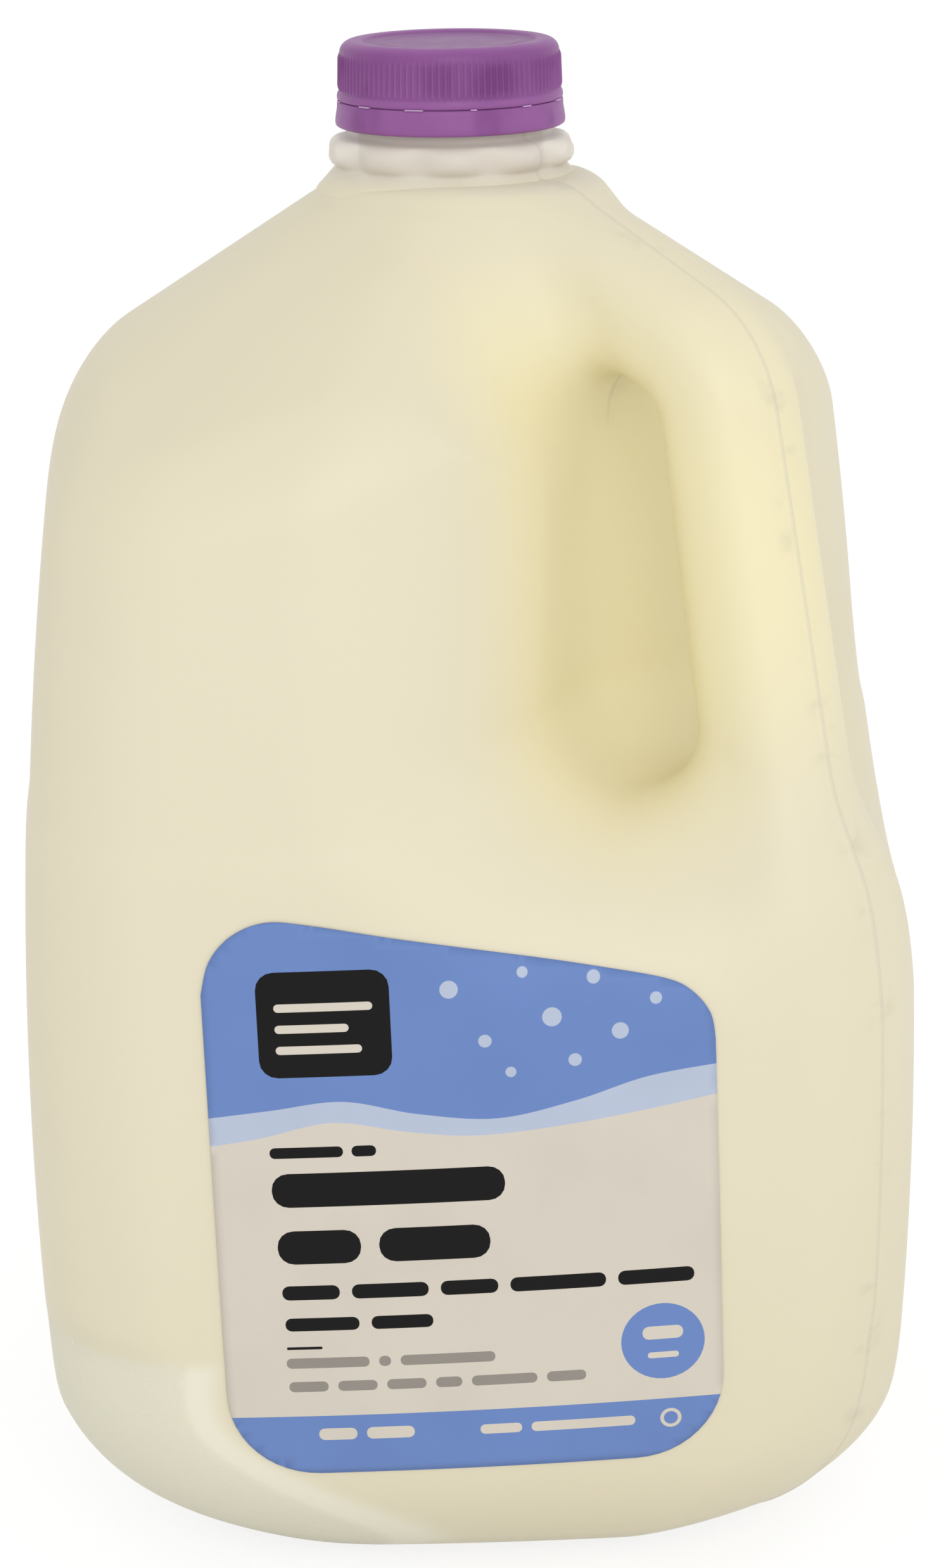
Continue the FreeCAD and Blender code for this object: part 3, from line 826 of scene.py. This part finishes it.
class JUG_OT_bottle(bpy.types.Operator):
    """Adds the blown bottle: body, handle and neck"""

    bl_idname = "jug.bottle"
    bl_label = "Bottle"

    def execute(self, context):
        scene = context.scene
        body, grip, closure = scene.jug_body, scene.jug_grip, scene.jug_closure
        skin = Skin(body, grip)
        rays = ray_list(260, True)
        pages = 600
        u, w, z = skin.grid(pages, rays)
        normal = skin.normals(u, w, z)
        raised = grip.seam_height * np.exp(-(w / grip.seam_width) ** 2) * seam_shows(u, z)
        u, w, z = (place + raised * way for place, way in zip((u, w, z), normal))
        z = np.where(z < 0.02, np.maximum(z, push_up(u, w, body)), z)
        x = (u + w) * ROOT_HALF
        y = (w - u) * ROOT_HALF
        points = np.stack([x, y, z], -1).reshape(-1, 3)
        base = body.shoulder_height
        rise = [base + 0.0009, base + 0.0045]
        collar = np.interp(points[:, 2], rise, [body.collar_foot, body.collar_foot - 0.0035])
        hidden = (np.hypot(points[:, 0], points[:, 1]) < collar - 0.0013) & (points[:, 2] > 0.2)
        faces = [f for f in closed_grid_faces(pages, len(rays)) if not any(hidden[i] for i in f)]
        used = sorted({i for face in faces for i in face})
        order = {old: new for new, old in enumerate(used)}
        faces = [tuple(order[i] for i in face) for face in faces]
        bottle = mesh_object("bottle", points[used], faces)
        outward(bottle)
        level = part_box("milk")[1][2]
        finish = bottle_finish(scene.jug_colours, level, body)
        bottle.data.materials.append(finish)
        finish_piece(bottle, "jug_plastic", "jug")
        neck = self.neck(body, closure)
        neck.data.materials.append(finish)
        finish_piece(neck, "jug_plastic")
        return {"FINISHED"}

    def neck(self, body, closure):
        """Collar, lobed ring, neck tube, thread and bore."""
        base = body.shoulder_height
        foot = body.collar_foot
        tube = closure.neck_radius
        bore = tube - closure.neck_wall
        top = base + closure.neck_height
        collar = [
            (-0.0012, -0.0016, 0), (-0.0002, -0.0010, 0), (0.0, -0.0002, 0), (-0.0001, 0.0004, 0),
            (-0.0005, 0.0010, 0), (-0.0013, 0.0018, 0), (-0.0022, 0.0028, 0), (-0.0030, 0.0037, 0),
            (-0.0035, 0.0044, 0), (-0.0031, 0.0047, 0.3), (-0.0023, 0.0052, 0.7), (-0.0018, 0.0060, 1),
            (-0.0017, 0.0067, 1), (-0.0018, 0.0075, 1), (-0.0022, 0.0082, 0.8), (-0.0030, 0.0088, 0.4),
            (-0.0042, 0.0091, 0.1),
        ]
        outside = [
            (0.0006, 0.0093), (0.0, 0.0099), (0.0, 0.0165), (0.0003, 0.0172), (0.0007, 0.0180),
            (0.0003, 0.0188), (0.0, 0.0195),
        ]
        rows = [(foot + across, base + rise, weight) for across, rise, weight in collar]
        rows += [(tube + across, base + rise, 0) for across, rise in outside]
        rows += [
            (tube, top - 0.0003, 0), (tube - 0.0002, top, 0), (bore + 0.0002, top, 0),
            (bore, top - 0.0003, 0), (bore, base + 0.0060, 0), (bore, base - 0.0020, 0),
            (bore + 0.0030, base - 0.0028, 0),
        ]
        weights = [row[2] for row in rows]
        lobes = closure.lobes
        depth = closure.lobe_depth

        def shape(turn, index):
            valley = 0.5 - 0.5 * np.cos(lobes * turn)
            return -depth * weights[index] * valley ** 1.4

        neck = turned_piece("bottle_neck", [(row[0], row[1]) for row in rows], 240, shape)
        outward(neck)
        return neck


class JUG_OT_milk(bpy.types.Operator):
    """Adds the milk, reaching just into the bottle wall"""

    bl_idname = "jug.milk"
    bl_label = "Milk"

    def execute(self, context):
        scene = context.scene
        skin = Skin(scene.jug_body, scene.jug_grip)
        rays = ray_list(128, False)
        pages = 240
        u, w, z = skin.grid(pages, rays)
        normal = skin.normals(u, w, z)
        u, w, z = (place - MILK_REACH * way for place, way in zip((u, w, z), normal))
        z = np.maximum(z, 0.0005 + push_up(u, w, scene.jug_body))
        points = np.stack([(u + w) * ROOT_HALF, (w - u) * ROOT_HALF, z], -1).reshape(-1, 3)
        milk = mesh_object("milk_fill", points, closed_grid_faces(pages, len(rays)))
        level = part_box("milk")[1][2]
        with edited(milk) as shape:
            parts = shape.verts[:] + shape.edges[:] + shape.faces[:]
            bmesh.ops.bisect_plane(
                shape, geom=parts, plane_co=(0, 0, level), plane_no=(0, 0, 1), clear_outer=True)
            rim = [edge for edge in shape.edges if edge.is_boundary]
            surface = bmesh.ops.edgeloop_fill(shape, edges=rim)["faces"]
            bmesh.ops.inset_region(shape, faces=surface, thickness=0.0012, depth=-0.0005)
            bmesh.ops.recalc_face_normals(shape, faces=shape.faces)
            for face in shape.faces:
                face.smooth = len(face.verts) < 8
        milk.data.materials.append(milk_finish(scene.jug_colours))
        finish_piece(milk, "milk", "milk")
        return {"FINISHED"}


class JUG_OT_closure(bpy.types.Operator):
    """Adds the ribbed cap and the tamper band with its bridges"""

    bl_idname = "jug.closure"
    bl_label = "Cap and band"

    def execute(self, context):
        scene = context.scene
        sizes = scene.jug_closure
        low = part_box("cap")[0][2] + 0.0003
        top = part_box("cap")[1][2]
        reach = sizes.cap_radius
        thread = (low + top) / 2.0 - 0.0005
        cap = self.cap(sizes, low, top, reach)
        colours = scene.jug_colours
        cap.data.materials.append(
            closure_finish("closure_cap", colours, reach - 0.0001, reach + 0.00025, thread))
        finish_piece(cap, "closure", "cap")
        band = self.band(sizes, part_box("tamper_band")[0][2], low)
        inner = sizes.cap_inner
        band.data.materials.append(
            closure_finish("closure_band", colours, inner, inner + 0.0001, low - 0.002))
        pale = print_finish("bridge_plastic", shade(196, 160, 200))
        band.data.materials.append(pale)
        finish_piece(band, "closure", "tamper_band")
        return {"FINISHED"}

    def cap(self, sizes, low, top, reach):
        crown = 0.0022
        shares = (0.0, 0.06, 0.14, 0.5, 0.86, 0.94, 1.0)
        ribbed = [low + 0.0016 + (top - low - 0.0036) * share for share in shares]
        rises = [0.0, 0.7, 1.0, 1.0, 1.0, 0.6, 0.0]
        inner = sizes.cap_inner
        profile = [
            (inner, top - 0.0016), (inner, low + 0.0001), (inner + 0.0002, low), (reach + 0.0001, low),
            (reach + 0.00032, low + 0.0002), (reach + 0.00036, low + 0.0006), (reach + 0.00025, low + 0.0011),
        ]
        weights = [0.0] * len(profile)
        for height, rise in zip(ribbed, rises):
            lean = 0.0003 * (height - low) / (top - low)
            profile.append((reach - lean, height))
            weights.append(rise)
        edge = profile[-1][0]
        start = profile[-1][1]
        for step in range(1, 9):
            turn = math.radians(90.0 * step / 8.0)
            profile.append((edge - crown * (1.0 - math.cos(turn)), start + (top - start) * math.sin(turn)))
        disc_rows = [
            (0.0152, 0.00002), (0.0148, 0.0001), (0.0145, 0.0003), (0.0142, 0.00048), (0.0136, 0.0005),
            (0.0122, 0.0005), (0.0119, 0.0004), (0.0116, 0.0004), (0.0113, 0.0005), (0.0060, 0.0005),
            (0.0, 0.0005),
        ]
        profile += [(radius, top - below) for radius, below in disc_rows]
        weights += [0.0] * (len(profile) - len(weights))
        profile = [(0.0, top - 0.0016)] + profile
        weights = [0.0] + weights
        ribs = sizes.ribs
        depth = sizes.rib_depth

        def shape(turn, index):
            return depth * weights[index] * (0.5 + 0.5 * np.cos(ribs * turn)) ** 2.2

        cap = turned_piece("cap_ribbed", profile, ribs * 8, shape)
        outward(cap)
        return cap

    def band(self, sizes, low, high):
        inner = sizes.cap_inner
        reach = sizes.band_radius
        top = high - 0.00005
        upper = sizes.cap_radius + 0.00034
        profile = [(inner, low + 0.0006), (reach - 0.0009, low + 0.00012), (reach - 0.0004, low),
                   (reach - 0.0001, low + 0.0002), (reach, low + 0.0006), (reach - 0.00002, low + 0.0011),
                   (reach - 0.00014, low + 0.0020), (upper + 0.00004, low + 0.0030), (upper, top - 0.0003),
                   (upper - 0.00012, top - 0.00006), (upper - 0.0004, top), (inner, top)]
        band = turned_piece("tamper_band_ring", profile, 240, None, True)
        outward(band)
        ring = upper - 0.0002
        with edited(band) as shape:
            for index in range(sizes.bridges):
                turn = 2.0 * math.pi * (index + 0.35) / sizes.bridges
                middle = Vector((ring * math.sin(turn), -ring * math.cos(turn), high))
                size = Matrix.Diagonal((0.0010 + 0.0007 * (index * 5 % 4), 0.0007, 0.00022, 1.0))
                place = Matrix.Translation(middle) @ Matrix.Rotation(turn, 4, "Z") @ size
                made = bmesh.ops.create_cube(shape, size=1.0, matrix=place)
                for face in {face for vert in made["verts"] for face in vert.link_faces}:
                    face.material_index = 1
        return band


class JUG_OT_label(bpy.types.Operator):
    """Adds the printed film label, laid on the front of the bottle"""

    bl_idname = "jug.label"
    bl_label = "Label"

    def execute(self, context):
        scene = context.scene
        sizes = scene.jug_label
        outline = label_outline()
        regions = label_regions()
        names = ["paper", "blue", "pale_blue", "black", "grey"]
        places = []
        edges = []
        for polygon in [outline] + [region[1] for region in regions]:
            polygon = divided(polygon)
            first = len(places)
            places.extend(Vector(point) for point in polygon)
            edges.extend((first + i, first + (i + 1) % len(polygon)) for i in range(len(polygon)))
        spacing = np.arange(1.5, 98.0, 2.4)
        lattice = np.array([(x, y) for x in spacing for y in spacing if x < LABEL_DRAWN - 1.0])
        lattice = lattice[inside_polygon(lattice, outline)]
        places.extend(Vector((float(x), float(y))) for x, y in lattice)
        flat = geometry.delaunay_2d_cdt(places, edges, [], 0, 0.0001)
        spots = np.array([tuple(spot) for spot in flat[0]])
        faces = [tuple(face) for face in flat[2]]
        middles = np.array([spots[list(face)].mean(axis=0) for face in faces])
        kept = inside_polygon(middles, outline)
        which = np.zeros(len(faces), int)
        for tint, polygon in regions:
            which[inside_polygon(middles, polygon)] = names.index(tint)
        scale = sizes.width / LABEL_DRAWN
        across = (spots[:, 0] - LABEL_DRAWN / 2.0) * scale
        upward = spots[:, 1] * scale - sizes.height / 2.0
        turn = sizes.tilt
        x = sizes.offset + across * math.cos(turn) - upward * math.sin(turn)
        z = sizes.bottom + sizes.height / 2.0 + across * math.sin(turn) + upward * math.cos(turn)
        skin = Skin(scene.jug_body, scene.jug_grip)
        y = -skin.front(x, z) - sizes.lift
        points = np.stack([x, y, z], -1)
        chosen = [face for face, keep in zip(faces, kept) if keep]
        label = mesh_object("label_film_print", points, chosen)
        for polygon, index in zip(label.data.polygons, which[kept]):
            polygon.material_index = int(index)
        colours = scene.jug_colours
        for name in names:
            label.data.materials.append(print_finish("print_" + name, tuple(getattr(colours, name))))
        with edited(label) as shape:
            loose = [vert for vert in shape.verts if not vert.link_faces]
            bmesh.ops.delete(shape, geom=loose, context="VERTS")
            for face in shape.faces:
                face.normal_update()
                if face.normal.y > 0.0:
                    face.normal_flip()
        film = label.modifiers.new("film", "SOLIDIFY")
        film.thickness = FILM_THICKNESS
        film.offset = -1.0
        finish_piece(label, "label_film", "label")
        return {"FINISHED"}


class JUG_OT_stage(bpy.types.Operator):
    """Adds the floor, the lights, the surroundings and the camera"""

    bl_idname = "jug.stage"
    bl_label = "Stage"

    def execute(self, context):
        scene = context.scene
        stage = scene.jug_stage
        scene.view_settings.view_transform = "Standard"
        half = FLOOR_HALF
        corners = [(-half, -half, 0), (half, -half, 0), (half, half, 0), (-half, half, 0)]
        floor = mesh_object("floor", corners, [(0, 1, 2, 3)], False)
        floor.data.materials.append(self.floor_finish(tuple(scene.jug_colours.floor)))
        self.surroundings(scene, stage.world)
        self.lamp(scene, "front_light", (0.25, -1.7, 1.0), 1.3, stage.front)
        self.lamp(scene, "side_light", (1.6, -0.6, 0.7), 1.1, stage.side)
        self.camera(scene, stage)
        return {"FINISHED"}

    def floor_finish(self, tint):
        """Pale floor, whiter to the eye than to the light, with its shadow."""
        finish = Finish("floor", tint, 0.75, specular_ior_level=0.15)
        cloud = finish.ramp(finish.noise(1.6, 2.0), 0.4, 0.7, 0.0, 0.2)
        finish.colour(finish.blend(cloud, tint, shade(240, 240, 240)))
        path = self.light_path(finish)
        surface = Term(finish, finish.surface.outputs[0])
        glow = finish.node("ShaderNodeEmission", {}, {"Color": (1.0, 1.0, 1.0), "Strength": 1.09})
        mixed = finish.node("ShaderNodeMixShader", {}, {0: path * 0.75, 1: surface, 2: glow})
        finish.tree.links.new(mixed.socket, finish.tree.nodes["Material Output"].inputs["Surface"])
        return finish.material

    def light_path(self, finish):
        path = finish.tree.nodes.new("ShaderNodeLightPath")
        kinds = ("Camera", "Glossy", "Transmission")
        rays = [Term(finish, path.outputs["Is " + kind + " Ray"]) for kind in kinds]
        return rays[0].math("MINIMUM", rays[0] + rays[1] + rays[2], 1.0)

    def surroundings(self, scene, strength):
        world = bpy.data.worlds.new("studio")
        scene.world = world
        world.use_nodes = True
        tree = world.node_tree
        back = tree.nodes["Background"]
        seen = tree.nodes.new("ShaderNodeBackground")
        for shown, power_of in ((back, strength), (seen, 1.0)):
            shown.inputs["Color"].default_value = (1.0, 1.0, 1.0, 1.0)
            shown.inputs["Strength"].default_value = power_of
        path = tree.nodes.new("ShaderNodeLightPath")
        mixed = tree.nodes.new("ShaderNodeMixShader")
        tree.links.new(path.outputs["Is Camera Ray"], mixed.inputs[0])
        tree.links.new(back.outputs[0], mixed.inputs[1])
        tree.links.new(seen.outputs[0], mixed.inputs[2])
        tree.links.new(mixed.outputs[0], tree.nodes["World Output"].inputs["Surface"])

    def lamp(self, scene, name, place, size, power):
        light = bpy.data.lights.new(name, "AREA")
        light.shape = "DISK"
        light.size = size
        light.energy = power
        lamp = bpy.data.objects.new(name, light)
        lamp.location = place
        towards = Vector((0.0, 0.0, 0.12)) - Vector(place)
        lamp.rotation_euler = towards.to_track_quat("-Z", "Y").to_euler()
        scene.collection.objects.link(lamp)

    def camera(self, scene, stage):
        view = bpy.data.cameras.new("camera")
        view.sensor_fit = "VERTICAL"
        view.sensor_height = 36.0
        view.lens = stage.focal * 36.0
        view.shift_x = 0.5 * SHORT_SIDE / LONG_SIDE - stage.centre_x
        view.shift_y = stage.centre_y - 0.5
        view.clip_start = 0.05
        view.clip_end = 50.0
        camera = bpy.data.objects.new("camera", view)
        heading = stage.turn + stage.aim
        level = math.cos(stage.pitch)
        ahead = Vector((-math.sin(heading) * level, math.cos(heading) * level, -math.sin(stage.pitch)))
        right = Vector((math.cos(heading), math.sin(heading), 0.0))
        above = right.cross(ahead)
        side = right * math.cos(stage.roll) + above * math.sin(stage.roll)
        head = above * math.cos(stage.roll) - right * math.sin(stage.roll)
        turn = Matrix((side, head, -ahead)).transposed().to_4x4()
        away = stage.distance
        place = Vector((away * math.sin(stage.turn), -away * math.cos(stage.turn), stage.height))
        camera.matrix_world = Matrix.Translation(place) @ turn
        scene.collection.objects.link(camera)
        scene.camera = camera


class JUG_PT_panel(bpy.types.Panel):
    """Sizes, colours and pieces of the milk jug"""

    bl_idname = "JUG_PT_panel"
    bl_label = "Milk Jug"
    bl_space_type = "VIEW_3D"
    bl_region_type = "UI"
    bl_category = "Milk Jug"

    def draw(self, context):
        layout = self.layout
        for operator in OPERATORS:
            layout.operator(operator.bl_idname)
        for name in GROUPS:
            group = getattr(context.scene, name)
            box = layout.box()
            box.label(text=group.bl_rna.description)
            for key in group.bl_rna.properties.keys():
                if key not in {"rna_type", "name"}:
                    box.prop(group, key)


GROUPS = {
    "jug_body": JUG_PG_body,
    "jug_grip": JUG_PG_grip,
    "jug_closure": JUG_PG_closure,
    "jug_label": JUG_PG_label,
    "jug_colours": JUG_PG_colours,
    "jug_stage": JUG_PG_stage,
}
OPERATORS = (JUG_OT_bottle, JUG_OT_milk, JUG_OT_closure, JUG_OT_label, JUG_OT_stage)


def register():
    for group in GROUPS.values():
        bpy.utils.register_class(group)
    for cls in (*OPERATORS, JUG_PT_panel):
        bpy.utils.register_class(cls)
    for name, group in GROUPS.items():
        setattr(bpy.types.Scene, name, PointerProperty(type=group))


def unregister():
    for name in GROUPS:
        delattr(bpy.types.Scene, name)
    for cls in (JUG_PT_panel, *reversed(OPERATORS), *reversed(list(GROUPS.values()))):
        bpy.utils.unregister_class(cls)


def main():
    register()
    bpy.ops.jug.bottle()
    bpy.ops.jug.milk()
    bpy.ops.jug.closure()
    bpy.ops.jug.label()
    bpy.ops.jug.stage()


if __name__ == "__main__":
    main()
